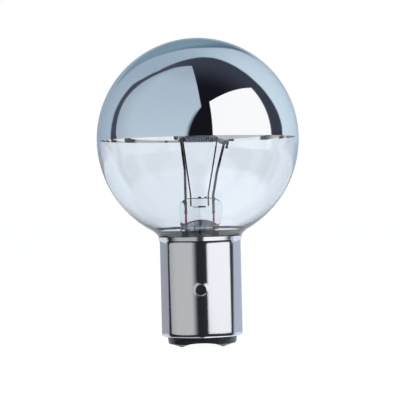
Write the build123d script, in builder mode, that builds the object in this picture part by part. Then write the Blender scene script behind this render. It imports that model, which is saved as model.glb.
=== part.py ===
# Clear globe lamp, half silvered inside, on a two-pin bayonet cap, in millimetres.
# +Z runs up the lamp's axis from the lowest points of the two bottom contacts.
# X runs through the two contacts and Y through the two bayonet pins.
import os
from math import asin, cos, degrees, pi, radians, sin, sqrt
from build123d import *

os.makedirs("parts", exist_ok=True)

# Cap shell
cap_radius = 11.0
cap_wall = 0.3
cap_bottom = 3.1
cap_corner = 1.1
cap_turn_in = 1.2
lip_rise = 3.2
lip_bend = 1.0
lip_clearance = 0.1

# Bayonet pins, one at the front and one at the rear
pin_height = 16.1
pin_radius = 1.6
pin_shank_radius = 1.1
pin_length = 2.05
pin_edge = 0.2
pin_head_radius = 2.1
pin_head_depth = 0.6
pin_boss_width = 0.4
pin_boss_rise = 0.25

# Glass insulator in the bottom of the cap
insulator_foot = 1.05
insulator_top = 6.5
insulator_taper = 0.3
insulator_foot_edge = 0.3
waist_width = 9.4
waist_depth = 1.3
groove_rise = 0.45

# Bottom contacts
contact_spacing = 11.2
contact_radius = 1.35
contact_thickness = 0.35
contact_height = 0.4
eyelet_radius = 0.5
eyelet_wall = 0.25
eyelet_length = 3.0
wire_channel = 1.2
boss_rim = 0.1
boss_radius = 3.2
solder_radius = 1.15
solder_plug = 1.0

# Glass globe and its neck
globe_radius = 27.5
glass_wall = 0.7
lower_radius = 28.6
lower_start = 80.0
neck_curve = 6.0
neck_wall = 1.3
inner_lower_radius = 26.4
inner_neck_curve = 6.5
neck_top = 26.8
neck_end = 19.5
mirror_thickness = 0.1
cement_wall = 0.5
cement_over_end = 1.5
cement_under_curve = 0.8

# Stem: flared tube and flattened pinch
tube_radius = 5.05
tube_wall = 0.8
pinch_root = 32.8
pinch_taper = 1.8
pinch_flank = 2.4
pinch_length = 3.2
pinch_width = 12.2
pinch_foot_width = 11.2
pinch_thickness = 4.2
pinch_shoulder = 3.0
pinch_edge = 1.4
pinch_shift = 0.4
hollow_dome = 1.8
knob_out = (0.15, 1.8)
knob_radius = 0.35
press_line_height = 38.1
press_line_start = -1.9
press_line_length = 3.7
press_line_radius = 0.2
blow_radius = 0.6
blow_height = 1.1
vent_radius = 0.45

# Exhaust tube inside the stem
exhaust_radius = 1.6
exhaust_wall = 0.5
exhaust_seat = 0.2
exhaust_bottom = 10.5

# Wires held by the pinch: leads near the hollow's wall, supports between them
lead_radius = 0.35
support_radius = 0.2
seal_radius = 0.2
lead_inset = {"left": 0.55, "right": 0.4}
lead_depth = 3.9
support_out = {"left": 2.3, "right": 2.5}
support_depth = 2.3
seal_hang = 0.2
bend_above_glass = 0.8
bend_radius = 3.0
tail_top_bend = 22.0
tail_bottom_bend = 9.0

# Leads above the glass lean out and forwards: bends rise over the pinch, and tips
# over the globe's centre
lead_bend_out = {"left": 3.7, "right": 5.0}
lead_bend_front = 0.5
lead_bend_rise = {"left": 7.9, "right": 7.1}
lead_tip_out = {"left": 4.6, "right": 7.3}
lead_tip_front = 2.4
lead_tip_rise = {"left": 0.25, "right": -0.7}
clamp_tail = {"left": 0.9, "right": 1.9}
clamp_drop = 0.6
clamp_clearance = 0.01

# Filament: three coiled runs, carried at its two rear corners by the supports.
# The corners' rises are over the globe's centre
filament_radius = 0.1
coil_radius = 0.6
coil_pitch = 0.5
coil_sides = 8
coil_gap = 0.9
corner_cut = 0.35
filament_end = 0.55
hook_clearance = 0.05
hook_tail = 0.3
corner_out = {"left": 4.6, "right": 5.6}
corner_back = 2.4
corner_rise = {"left": -0.1, "right": -0.3}

# Sizes worked out from the ones above
up = Vector(0, 0, 1)
sides = {"left": -1, "right": 1}
contact_x = contact_spacing / 2
cap_bore = cap_radius - cap_wall
cap_top = neck_top + lip_rise
insulator_radius = cap_bore - cap_turn_in
insulator_foot_radius = insulator_radius - insulator_taper
pin_seat = cap_radius + pin_boss_rise
pin_reach = pin_seat + pin_length
tube_bore = tube_radius - tube_wall
pinch_foot = pinch_root + pinch_taper
pinch_full = pinch_foot + pinch_flank
pinch_top = pinch_full + pinch_length
hollow_top = pinch_root + hollow_dome
dome_radius = (tube_bore**2 + hollow_dome**2) / (2 * hollow_dome)
exhaust_top = hollow_top + exhaust_seat
weld_height = pinch_top - lead_depth
support_root = pinch_top - support_depth
seal_bottom = pinch_root - seal_hang
bend_height = pinch_top + bend_above_glass
lead_x = {side: sign * (tube_bore - lead_inset[side]) for side, sign in sides.items()}
support_x = {side: sign * support_out[side] for side, sign in sides.items()}

# The globe's lower arc meets the neck's curve where both lean alike
neck_radius = cap_bore - cement_wall
neck_bore = neck_radius - neck_wall
flare_curve = neck_bore - tube_radius
glass_bore = globe_radius - glass_wall
lower_extra = lower_radius - globe_radius
lower_shift = lower_extra * sin(radians(lower_start))
lower_end = degrees(asin((neck_radius + neck_curve + lower_shift) / (lower_radius + neck_curve)))
lower_drop = (lower_radius + neck_curve) * cos(radians(lower_end))
globe_centre = neck_top + lower_drop - lower_extra * cos(radians(lower_start))
cement_bottom = neck_end + cement_over_end
cement_top = neck_top - cement_under_curve

# The cap's lip starts where the neck's curve nears the bore, and flares to clear it
lip_start = sqrt(neck_curve**2 - (neck_curve - cement_wall + lip_clearance) ** 2)
lip_height = lip_rise - lip_start
lip_flare = neck_curve - sqrt(neck_curve**2 - lip_rise**2) + lip_clearance - cement_wall

# Bends and tips of the leads, and rear corners of the filament
lead_bend = {
    side: Vector(sign * lead_bend_out[side], -lead_bend_front, pinch_top + lead_bend_rise[side])
    for side, sign in sides.items()
}
lead_tip = {
    side: Vector(sign * lead_tip_out[side], -lead_tip_front, globe_centre + lead_tip_rise[side])
    for side, sign in sides.items()
}
filament_corner = {
    side: Vector(sign * corner_out[side], corner_back, globe_centre + corner_rise[side])
    for side, sign in sides.items()
}


# Half section inside the globe and neck, for the outer or the inner surface of the glass
def envelope_section(dome_size, side_size, curve_size, end_size):
    shift = (side_size - dome_size) * sin(radians(lower_start))
    lean_angle = degrees(asin((end_size + curve_size + shift) / (side_size + curve_size)))
    with BuildSketch(Plane.XZ) as section:
        with BuildLine():
            dome = CenterArc((0, globe_centre), dome_size, 90, lower_start - 180)
            lower = JernArc(dome @ 1, dome % 1, side_size, lean_angle - lower_start)
            curve = JernArc(lower @ 1, lower % 1, curve_size, 90 - lean_angle)
            neck = Line(curve @ 1, (end_size, neck_end))
            Polyline(neck @ 1, (0, neck_end), dome @ 0)
        make_face()
    return section.sketch


# Round wire along straight runs joined by arcs
def wire_along(points, bends, wire_radius):
    with BuildPart() as wire:
        with BuildLine() as path:
            FilletPolyline(*points, radius=bends)
        with BuildSketch(Plane(origin=path.line @ 0, z_dir=path.line % 0)):
            Circle(wire_radius)
        sweep()
    return wire.part


# Straight round wire standing on z_low
def upright_wire(x, z_low, z_high, wire_radius):
    with BuildPart() as wire:
        with BuildSketch(Plane.XY.offset(z_low)):
            with Locations((x, 0)):
                Circle(wire_radius)
        extrude(amount=z_high - z_low)
    return wire.part


def finish(piece, node):
    piece.label = node
    export_step(piece, f"parts/{node}.step")


# Glass globe with its neck open at the bottom
with BuildPart() as glass_envelope:
    add(envelope_section(globe_radius, lower_radius, neck_curve, neck_radius))
    revolve(axis=Axis.Z)
    add(envelope_section(glass_bore, inner_lower_radius, inner_neck_curve, neck_bore))
    revolve(axis=Axis.Z, mode=Mode.SUBTRACT)
finish(glass_envelope.part, "glass_envelope")

# Silvering on the inside of the upper half
with BuildPart() as mirror_coating:
    with BuildSketch(Plane.XZ):
        with BuildLine():
            outside = CenterArc((0, globe_centre), glass_bore, 0, 90)
            inside = CenterArc((0, globe_centre), glass_bore - mirror_thickness, 0, 90)
            Line(outside @ 0, inside @ 0)
            Line(outside @ 1, inside @ 1)
        make_face()
    revolve(axis=Axis.Z)
finish(mirror_coating.part, "mirror_coating")

# Stem: the flare meets the neck's end, and the pinch holds the wires
with BuildPart() as stem:
    with BuildSketch(Plane.XZ):
        with BuildLine():
            FilletPolyline(
                (-pinch_width / 2 + pinch_shift, pinch_full),
                (-pinch_width / 2 + pinch_shift, pinch_top),
                (pinch_width / 2 + pinch_shift, pinch_top),
                (pinch_width / 2 + pinch_shift, pinch_full),
                radius=(pinch_shoulder, pinch_shoulder),
            )
            Line(
                (-pinch_width / 2 + pinch_shift, pinch_full),
                (pinch_width / 2 + pinch_shift, pinch_full),
            )
        make_face()
    extrude(amount=pinch_thickness / 2, both=True)
    fillet(stem.faces().filter_by(Axis.Y).edges().sort_by(Axis.Z)[2:], radius=pinch_edge)
    with BuildSketch(Plane.XY.offset(pinch_foot)):
        with Locations((pinch_shift, 0)):
            RectangleRounded(pinch_foot_width, pinch_thickness, pinch_edge)
    with BuildSketch(Plane.XY.offset(pinch_full)):
        with Locations((pinch_shift, 0)):
            RectangleRounded(pinch_width, pinch_thickness, pinch_edge)
    loft()
    with BuildSketch(Plane.XY.offset(pinch_root)):
        Circle(tube_radius)
    with BuildSketch(Plane.XY.offset(pinch_foot)):
        with Locations((pinch_shift, 0)):
            RectangleRounded(pinch_foot_width, pinch_thickness, pinch_edge)
    loft()
    # Knobs on the pinch's top, and a line pressed across its front
    for out in knob_out:
        with Locations((out, 0, pinch_top)):
            Sphere(knob_radius)
    with BuildSketch(Plane.YZ.offset(press_line_start)):
        with Locations((-pinch_thickness / 2, press_line_height)):
            Circle(press_line_radius)
    extrude(amount=press_line_length, mode=Mode.SUBTRACT)
    # Holes filled by the wires
    for side in sides:
        with BuildSketch(Plane.XY.offset(weld_height)):
            with Locations((lead_x[side], 0)):
                Circle(lead_radius)
        extrude(amount=bend_height - weld_height, mode=Mode.SUBTRACT)
        with BuildSketch(Plane.XY.offset(weld_height)):
            with Locations((lead_x[side], 0)):
                Circle(seal_radius)
        extrude(amount=seal_bottom - weld_height, mode=Mode.SUBTRACT)
        with BuildSketch(Plane.XY.offset(support_root)):
            with Locations((support_x[side], 0)):
                Circle(support_radius)
        extrude(amount=bend_height - support_root, mode=Mode.SUBTRACT)
    # The hollow ends in a shallow dome under the pinch
    with BuildSketch(Plane.XZ):
        with BuildLine():
            dome_centre = hollow_top - dome_radius
            dome_angle = degrees(asin(tube_bore / dome_radius))
            dome_line = CenterArc((0, dome_centre), dome_radius, 90 - dome_angle, dome_angle)
            Polyline(dome_line @ 0, (0, pinch_root), dome_line @ 1)
        make_face()
    revolve(axis=Axis.Z, mode=Mode.SUBTRACT)
    # Tube and flare
    with BuildSketch(Plane.XZ):
        with BuildLine():
            tube_line = Line((tube_radius, pinch_root), (tube_radius, neck_end + flare_curve))
            flare_line = JernArc(tube_line @ 1, tube_line % 1, flare_curve, 90)
            Line(flare_line @ 1, (neck_radius, neck_end))
            offset(amount=tube_wall, side=Side.RIGHT)
        make_face()
    revolve(axis=Axis.Z)
    # Seat of the exhaust tube, and the blow hole from it to the front of the pinch
    with BuildSketch(Plane.XY.offset(exhaust_top)):
        Circle(exhaust_radius)
    extrude(amount=pinch_root - exhaust_top, mode=Mode.SUBTRACT)
    with BuildSketch(Plane.XY.offset(exhaust_top)):
        Circle(blow_radius)
    extrude(amount=blow_height, mode=Mode.SUBTRACT)
    with BuildSketch(Plane.XZ):
        with Locations((0, exhaust_top + blow_height / 2)):
            Circle(vent_radius)
    extrude(amount=tube_radius, mode=Mode.SUBTRACT)
finish(stem.part, "stem")

# Exhaust tube, sealed at its lower end
with BuildPart() as exhaust_tube:
    with BuildSketch(Plane.XZ):
        with BuildLine():
            Polyline((0, exhaust_bottom), (0, exhaust_top), (exhaust_radius, exhaust_top))
            tip = RadiusArc((exhaust_radius, exhaust_bottom + exhaust_radius),
                            (0, exhaust_bottom), exhaust_radius)
            Line(tip @ 0, (exhaust_radius, exhaust_top))
        make_face()
    revolve(axis=Axis.Z)
    with BuildSketch(Plane.XY.offset(exhaust_top)):
        Circle(exhaust_radius - exhaust_wall)
    extrude(amount=exhaust_bottom + 2 * exhaust_radius - exhaust_top, mode=Mode.SUBTRACT)
finish(exhaust_tube.part, "exhaust_tube")

# Hairpin clamp at the top of each lead: its prongs stand side by side across X
clamp_spacing = 2 * (lead_radius + filament_radius + clamp_clearance)
lean = {side: (lead_tip[side] - lead_bend[side]).normalized() for side in sides}
across = {side: Vector(0, 1, 0).cross(lean[side]).normalized() for side in sides}
clamp_centre = {
    side: lead_tip[side] + across[side] * (clamp_spacing / 2) - lean[side] * clamp_drop
    for side in sides
}
for side in sides:
    far_tip = lead_tip[side] + across[side] * clamp_spacing
    lead_path = [
        Vector(lead_x[side], 0, weld_height),
        Vector(lead_x[side], 0, bend_height),
        lead_bend[side],
        lead_tip[side],
        far_tip,
        far_tip - lean[side] * clamp_tail[side],
    ]
    clamp_bend = clamp_spacing / 2 - clamp_clearance
    bends = (bend_radius, bend_radius, clamp_bend, clamp_bend)
    finish(wire_along(lead_path, bends, lead_radius), f"lead_wire_{side}")

# Seal wires in the glass, and tail wires from them down into the solder
for side, sign in sides.items():
    finish(upright_wire(lead_x[side], seal_bottom, weld_height, seal_radius), f"seal_wire_{side}")
    tail_path = [
        Vector(lead_x[side], 0, seal_bottom),
        Vector(lead_x[side], 0, tail_top_bend),
        Vector(sign * contact_x, 0, tail_bottom_bend),
        Vector(sign * contact_x, 0, contact_height),
    ]
    finish(wire_along(tail_path, (bend_radius, bend_radius), seal_radius), f"tail_wire_{side}")


# Corner points of one coiled run of the filament, starting and ending at its top
def coiled_run(start, end, start_gap, end_gap):
    axis = (end - start).normalized()
    side = axis.cross(up).normalized()
    top = side.cross(axis)
    length = (end - start).length - start_gap - end_gap
    steps = round(length / coil_pitch) * coil_sides
    points = []
    for step in range(steps + 1):
        angle = pi / 2 + 2 * pi * step / coil_sides
        centre = start + axis * (start_gap + length * step / steps)
        points.append(centre + side * (coil_radius * cos(angle)) + top * (coil_radius * sin(angle)))
    return points


# Filament: clamped end, three runs joined across the rear corners, clamped end
run_stops = [
    clamp_centre["left"],
    filament_corner["left"],
    filament_corner["right"],
    clamp_centre["right"],
]
run_ways = [(end - start).normalized() for start, end in zip(run_stops, run_stops[1:])]
clamp_way = {side: across[side].cross(lean[side]).normalized() for side in sides}
filament_path = [
    clamp_centre["left"] + clamp_way["left"] * filament_end,
    clamp_centre["left"] - clamp_way["left"] * filament_end,
    *coiled_run(run_stops[0], run_stops[1], coil_gap, coil_gap),
    run_stops[1] - run_ways[0] * corner_cut,
    run_stops[1] + run_ways[1] * corner_cut,
    *coiled_run(run_stops[1], run_stops[2], coil_gap, coil_gap),
    run_stops[2] - run_ways[1] * corner_cut,
    run_stops[2] + run_ways[2] * corner_cut,
    *coiled_run(run_stops[2], run_stops[3], coil_gap, coil_gap),
    clamp_centre["right"] - clamp_way["right"] * filament_end,
    clamp_centre["right"] + clamp_way["right"] * filament_end,
]
with BuildPart() as filament:
    with BuildLine() as coil_line:
        Polyline(*filament_path)
    with BuildSketch(Plane(origin=filament_path[0], z_dir=filament_path[1] - filament_path[0])):
        RegularPolygon(filament_radius, 6)
    sweep(transition=Transition.RIGHT)
finish(filament.part, "filament")

# Support wires, each hooked over the filament where it crosses a rear corner
hook_radius = filament_radius + hook_clearance + support_radius
for side, arriving, leaving in zip(sides, run_ways, run_ways[1:]):
    hook_centre = filament_corner[side] + (leaving - arriving) * (corner_cut / 2)
    inward = (leaving - arriving).normalized()
    support_path = [
        Vector(support_x[side], 0, support_root),
        Vector(support_x[side], 0, bend_height),
        hook_centre + (inward + up) * hook_radius,
        hook_centre + (up - inward) * hook_radius,
        hook_centre - inward * hook_radius - up * hook_tail,
    ]
    hook_bend = hook_radius - clamp_clearance
    support = wire_along(support_path, (bend_radius, hook_bend, hook_bend), support_radius)
    finish(support, f"support_wire_{side}")

# Cement between the neck and the cap
with BuildPart() as basing_cement:
    with BuildSketch(Plane.XY.offset(cement_bottom)):
        Circle(cap_bore)
        Circle(neck_radius, mode=Mode.SUBTRACT)
    extrude(amount=cement_top - cement_bottom)
finish(basing_cement.part, "basing_cement")

# Drawn cap shell with a flared lip, a turned-in bottom and a boss round each pin
with BuildPart() as cap_shell:
    with BuildSketch(Plane.XZ):
        with BuildLine():
            FilletPolyline(
                (insulator_radius, cap_bottom),
                (cap_radius, cap_bottom),
                (cap_radius, cap_top - lip_height),
                (cap_radius + lip_flare, cap_top),
                radius=(cap_corner, lip_bend),
            )
            offset(amount=cap_wall, side=Side.LEFT)
        make_face()
    revolve(axis=Axis.Z)
    with BuildSketch(Plane.XZ.offset(-pin_seat)):
        with Locations((0, pin_height)):
            Circle(pin_radius + pin_boss_width)
    extrude(amount=2 * pin_seat)
    with BuildSketch(Plane.XY.offset(cap_bottom + cap_corner)):
        Circle(cap_bore)
    extrude(amount=cap_top - lip_height - cap_bottom - 2 * cap_corner, mode=Mode.SUBTRACT)
    with BuildSketch(Plane.XZ.offset(-pin_seat)):
        with Locations((0, pin_height)):
            Circle(pin_shank_radius)
    extrude(amount=2 * pin_seat, mode=Mode.SUBTRACT)
finish(cap_shell.part, "cap_shell")

# Bayonet pins, each seated on its boss and riveted to a head inside the shell
with BuildPart() as bayonet_pin_front:
    with BuildSketch(Plane.XZ.offset(cap_bore - pin_head_depth)):
        with Locations((0, pin_height)):
            Circle(pin_head_radius)
    extrude(amount=pin_head_depth)
    with BuildSketch(Plane.XY):
        Circle(cap_bore)
    extrude(amount=cap_top, mode=Mode.INTERSECT)
    with BuildSketch(Plane.XZ.offset(cap_bore - pin_head_depth)):
        with Locations((0, pin_height)):
            Circle(pin_shank_radius)
    extrude(amount=pin_seat - cap_bore + pin_head_depth)
    with BuildSketch(Plane.XZ.offset(pin_seat)):
        with Locations((0, pin_height)):
            Circle(pin_radius)
    extrude(amount=pin_reach - pin_seat)
    fillet(bayonet_pin_front.faces().sort_by(Axis.Y)[0].edges(), pin_edge)
finish(bayonet_pin_front.part, "bayonet_pin_front")

with BuildPart() as bayonet_pin_rear:
    mirror(bayonet_pin_front.part, about=Plane.XZ)
finish(bayonet_pin_rear.part, "bayonet_pin_rear")

# Glass insulator: it fills the cap's bottom and is waisted between two conical bosses
with BuildPart() as insulator:
    with BuildSketch(Plane.XZ):
        with BuildLine():
            FilletPolyline(
                (0, insulator_foot),
                (insulator_foot_radius, insulator_foot),
                (insulator_radius, cap_bottom),
                (insulator_radius, cap_bottom + cap_wall),
                (cap_bore, cap_bottom + cap_wall),
                (cap_bore, insulator_top),
                (0, insulator_top),
                radius=(0, insulator_foot_edge, 0, 0, cap_corner - cap_wall, 0, 0),
                close=True,
            )
        make_face()
    revolve(axis=Axis.Z)
    with BuildSketch(Plane.XY.offset(cap_bottom)):
        with Locations((0, -insulator_radius), (0, insulator_radius)):
            Rectangle(waist_width, 2 * waist_depth)
    extrude(amount=-cap_bottom, mode=Mode.SUBTRACT)
    with BuildSketch(Plane.XZ):
        with BuildLine():
            groove = SagittaArc(
                (-waist_width / 2, insulator_foot), (waist_width / 2, insulator_foot), groove_rise
            )
            Line(groove @ 1, groove @ 0)
        make_face()
    extrude(amount=insulator_radius, both=True, mode=Mode.SUBTRACT)
    for sign in sides.values():
        with BuildSketch(Plane.XY.offset(insulator_foot)):
            with Locations((sign * contact_x, 0)):
                Circle(boss_radius)
        extrude(amount=groove_rise)
        with BuildSketch(Plane.XY.offset(contact_height)):
            with Locations((sign * contact_x, 0)):
                Circle(contact_radius + boss_rim)
        with BuildSketch(Plane.XY.offset(insulator_foot)):
            with Locations((sign * contact_x, 0)):
                Circle(boss_radius)
        loft()
    for sign in sides.values():
        with BuildSketch(Plane.XY.offset(contact_height)):
            with Locations((sign * contact_x, 0)):
                Circle(contact_radius)
        extrude(amount=contact_thickness, mode=Mode.SUBTRACT)
        with BuildSketch(Plane.XY.offset(contact_height)):
            with Locations((sign * contact_x, 0)):
                Circle(eyelet_radius + eyelet_wall)
        extrude(amount=eyelet_length, mode=Mode.SUBTRACT)
        with BuildSketch(Plane.XY.offset(contact_height + eyelet_length)):
            with Locations((sign * contact_x, 0)):
                Circle(wire_channel)
        extrude(amount=insulator_top, mode=Mode.SUBTRACT)
finish(insulator.part, "insulator")

# Contact plates with eyelets, and the solder that closes them round the tail wires
for side, sign in sides.items():
    with BuildPart() as contact:
        with BuildSketch(Plane.XY.offset(contact_height)):
            with Locations((sign * contact_x, 0)):
                Circle(contact_radius)
        extrude(amount=contact_thickness)
        with BuildSketch(Plane.XY.offset(contact_height)):
            with Locations((sign * contact_x, 0)):
                Circle(eyelet_radius + eyelet_wall)
        extrude(amount=eyelet_length)
        with BuildSketch(Plane.XY.offset(contact_height)):
            with Locations((sign * contact_x, 0)):
                Circle(eyelet_radius)
        extrude(amount=eyelet_length, mode=Mode.SUBTRACT)
    finish(contact.part, f"contact_{side}")

    with BuildPart() as solder:
        with BuildSketch(Plane.XZ):
            with BuildLine():
                dome = ThreePointArc(
                    (-solder_radius, contact_height), (0, 0), (solder_radius, contact_height)
                )
                Line(dome @ 1, dome @ 0)
            make_face()
            split(bisect_by=Plane.YZ)
        revolve(axis=Axis.Z)
        with BuildSketch(Plane.XY.offset(contact_height)):
            Circle(eyelet_radius)
            Circle(seal_radius, mode=Mode.SUBTRACT)
        extrude(amount=solder_plug)
    finish(solder.part.moved(Location((sign * contact_x, 0, 0))), f"solder_{side}")
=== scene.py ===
# Looks of the clear globe lamp: half silvered globe, glass stem, coil, nickel cap.
# The frame is in metres, +Z up. The lamp's sizes here are in millimetres, the studio's in metres.
from math import asin, atan2, cos, degrees, pi, radians, sin, sqrt, tan

import bmesh
import bpy
from mathutils import Matrix, Vector


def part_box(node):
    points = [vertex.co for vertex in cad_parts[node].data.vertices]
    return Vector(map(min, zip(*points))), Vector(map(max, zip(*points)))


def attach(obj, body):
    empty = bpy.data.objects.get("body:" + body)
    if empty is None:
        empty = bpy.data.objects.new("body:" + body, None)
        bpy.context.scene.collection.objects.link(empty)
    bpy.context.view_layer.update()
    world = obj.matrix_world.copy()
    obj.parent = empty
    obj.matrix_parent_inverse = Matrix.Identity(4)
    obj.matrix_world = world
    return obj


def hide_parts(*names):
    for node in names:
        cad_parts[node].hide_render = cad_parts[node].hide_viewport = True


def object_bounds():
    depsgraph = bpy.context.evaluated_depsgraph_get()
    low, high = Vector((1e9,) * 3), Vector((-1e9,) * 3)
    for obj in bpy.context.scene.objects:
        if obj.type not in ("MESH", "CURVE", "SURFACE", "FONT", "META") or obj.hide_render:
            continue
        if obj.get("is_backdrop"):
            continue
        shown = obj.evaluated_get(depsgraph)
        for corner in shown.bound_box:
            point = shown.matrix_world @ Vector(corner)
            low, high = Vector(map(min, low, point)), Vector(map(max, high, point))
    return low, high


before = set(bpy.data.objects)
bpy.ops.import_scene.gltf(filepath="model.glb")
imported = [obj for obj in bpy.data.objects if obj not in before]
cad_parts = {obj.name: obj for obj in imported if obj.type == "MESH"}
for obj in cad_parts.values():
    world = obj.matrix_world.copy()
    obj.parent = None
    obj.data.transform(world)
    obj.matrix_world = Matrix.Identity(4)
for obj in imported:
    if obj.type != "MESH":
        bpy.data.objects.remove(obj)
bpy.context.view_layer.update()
MM = 0.001

# Sizes in millimetres, read from the frame where it gives them
glass_low, glass_high = (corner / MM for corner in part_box("glass_envelope"))
cap_low, cap_high = (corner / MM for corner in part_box("cap_shell"))
stem_low, stem_high = (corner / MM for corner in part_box("stem"))
globe_radius = glass_high.x
globe_centre = glass_high.z - globe_radius
glass_wall = 0.7
glass_bore = globe_radius - glass_wall
lower_radius = 28.6
lower_start = 80.0
neck_curve = 6.0
neck_radius = stem_high.x
neck_end = glass_low.z
mirror_half = 0.05


# Mesh object from points in millimetres, smooth shaded
def mesh_piece(name, points, faces, material, sharp=None):
    mesh = bpy.data.meshes.new(name)
    mesh.from_pydata([Vector(p) * MM for p in points], [], faces)
    build = bmesh.new()
    build.from_mesh(mesh)
    bmesh.ops.remove_doubles(build, verts=build.verts, dist=1e-7)
    bmesh.ops.recalc_face_normals(build, faces=build.faces)
    build.to_mesh(mesh)
    build.free()
    for face in mesh.polygons:
        face.use_smooth = True
    if sharp is not None:
        mesh.set_sharp_from_angle(angle=radians(sharp))
    mesh.materials.append(material)
    piece = bpy.data.objects.new(name, mesh)
    bpy.context.scene.collection.objects.link(piece)
    return piece


# Tint of the glass at each point of a piece, multiplied into its material's colour where
# light enters it
def paint_tint(piece, tint_at):
    tints = piece.data.attributes.new("tint", "FLOAT_COLOR", "POINT")
    for tint, vertex in zip(tints.data, piece.data.vertices):
        tint.color = (*tint_at(vertex.co / MM), 1)


# Points of an arc in a radius and height plane, angles in degrees from outward
def arc(centre, radius, start, end, steps):
    points = []
    for step in range(steps + 1):
        angle = radians(start + (end - start) * step / steps)
        points.append((centre[0] + radius * cos(angle), centre[1] + radius * sin(angle)))
    return points


# Points along a straight line, its ends left out
def between(start, end, steps):
    return [
        (
            start[0] + (end[0] - start[0]) * step / steps,
            start[1] + (end[1] - start[1]) * step / steps,
        )
        for step in range(1, steps)
    ]


# Surface of revolution about Z from a profile of radius and height
def revolved(profile, around, closed=False):
    points = []
    faces = []
    for radius, height in profile:
        for step in range(around):
            angle = 2 * pi * step / around
            points.append((radius * cos(angle), radius * sin(angle), height))
    rows = len(profile)
    for row in range(rows if closed else rows - 1):
        after = (row + 1) % rows
        for step in range(around):
            side = (step + 1) % around
            faces.append((row * around + step, row * around + side, after * around + side,
                          after * around + step))
    return points, faces


def add_piece(piece, slot, *nodes):
    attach(piece, "root")
    if nodes:
        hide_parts(*nodes)
    return piece


# Materials
def new_material(name):
    material = bpy.data.materials.new(name)
    material.use_nodes = True
    tree = material.node_tree
    return material, tree, tree.nodes["Principled BSDF"]


# Math node, whose values are numbers or sockets
def math_node(tree, operation, *values):
    node = tree.nodes.new("ShaderNodeMath")
    node.operation = operation
    for index, value in enumerate(values):
        if isinstance(value, (int, float)):
            node.inputs[index].default_value = value
        else:
            tree.links.new(value, node.inputs[index])
    return node.outputs["Value"]


# Colour ramp over a value, from pairs of position and colour
def ramp_node(tree, source, stops):
    node = tree.nodes.new("ShaderNodeValToRGB")
    elements = node.color_ramp.elements
    for index, (position, colour) in enumerate(stops):
        stop = elements[index] if index < 2 else elements.new(position)
        stop.position = position
        stop.color = (*colour, 1)
    tree.links.new(source, node.inputs["Fac"])
    return node.outputs["Color"]


def noise_node(tree, scale, detail):
    coordinates = tree.nodes.new("ShaderNodeTexCoord")
    noise = tree.nodes.new("ShaderNodeTexNoise")
    noise.inputs["Scale"].default_value = scale
    noise.inputs["Detail"].default_value = detail
    tree.links.new(coordinates.outputs["Object"], noise.inputs["Vector"])
    return noise.outputs["Fac"]


def bump_from(tree, shader, source, strength, depth=0.05):
    bump = tree.nodes.new("ShaderNodeBump")
    bump.inputs["Strength"].default_value = strength
    bump.inputs["Distance"].default_value = depth * MM
    tree.links.new(source, bump.inputs["Height"])
    tree.links.new(bump.outputs["Normal"], shader.inputs["Normal"])


def colour_between(tree, shader, source, low, high):
    colour = ramp_node(tree, source, [(0.3, low), (0.7, high)])
    tree.links.new(colour, shader.inputs["Base Color"])


def roughness_between(tree, shader, source, low, high):
    spread = tree.nodes.new("ShaderNodeMapRange")
    spread.inputs["To Min"].default_value = low
    spread.inputs["To Max"].default_value = high
    tree.links.new(source, spread.inputs["Value"])
    tree.links.new(spread.outputs["Result"], shader.inputs["Roughness"])


# Clear glass that lets the lamps' light through to what is inside. The tint painted on its
# piece counts only where light enters it
def glass_material(name, face_tint, edge_tint, ior, wave):
    ripple_scale = 90
    ripple_detail = 2.0
    material, tree, shader = new_material(name)
    shader.inputs["Transmission Weight"].default_value = 1
    shader.inputs["Roughness"].default_value = 0
    shader.inputs["IOR"].default_value = ior
    facing = tree.nodes.new("ShaderNodeLayerWeight")
    facing.inputs["Blend"].default_value = 0.35
    clear_tint = ramp_node(tree, facing.outputs["Facing"], [(0.25, face_tint), (1.0, edge_tint)])
    painted = tree.nodes.new("ShaderNodeAttribute")
    painted.attribute_name = "tint"
    geometry = tree.nodes.new("ShaderNodeNewGeometry")
    entering = math_node(tree, "SUBTRACT", 1, geometry.outputs["Backfacing"])
    product = tree.nodes.new("ShaderNodeMix")
    product.data_type = "RGBA"
    product.blend_type = "MULTIPLY"
    tree.links.new(entering, product.inputs["Factor"])
    tree.links.new(clear_tint, product.inputs[6])
    tree.links.new(painted.outputs["Color"], product.inputs[7])
    tree.links.new(product.outputs[2], shader.inputs["Base Color"])
    bump_from(tree, shader, noise_node(tree, ripple_scale, ripple_detail), wave)
    clear = tree.nodes.new("ShaderNodeBsdfTransparent")
    clear.inputs["Color"].default_value = (*face_tint, 1)
    light_path = tree.nodes.new("ShaderNodeLightPath")
    choice = tree.nodes.new("ShaderNodeMixShader")
    tree.links.new(light_path.outputs["Is Shadow Ray"], choice.inputs["Fac"])
    tree.links.new(shader.outputs["BSDF"], choice.inputs[1])
    tree.links.new(clear.outputs["BSDF"], choice.inputs[2])
    tree.links.new(choice.outputs["Shader"], tree.nodes["Material Output"].inputs["Surface"])
    return material


# Metal whose colour and roughness wander between two values with its grain
def metal_material(name, colours, roughness, grain, wave, metallic=1.0):
    grain_detail = 4.0
    material, tree, shader = new_material(name)
    shader.inputs["Metallic"].default_value = metallic
    noise = noise_node(tree, grain, grain_detail)
    colour_between(tree, shader, noise, *colours)
    roughness_between(tree, shader, noise, *roughness)
    bump_from(tree, shader, noise, wave)
    return material


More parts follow.
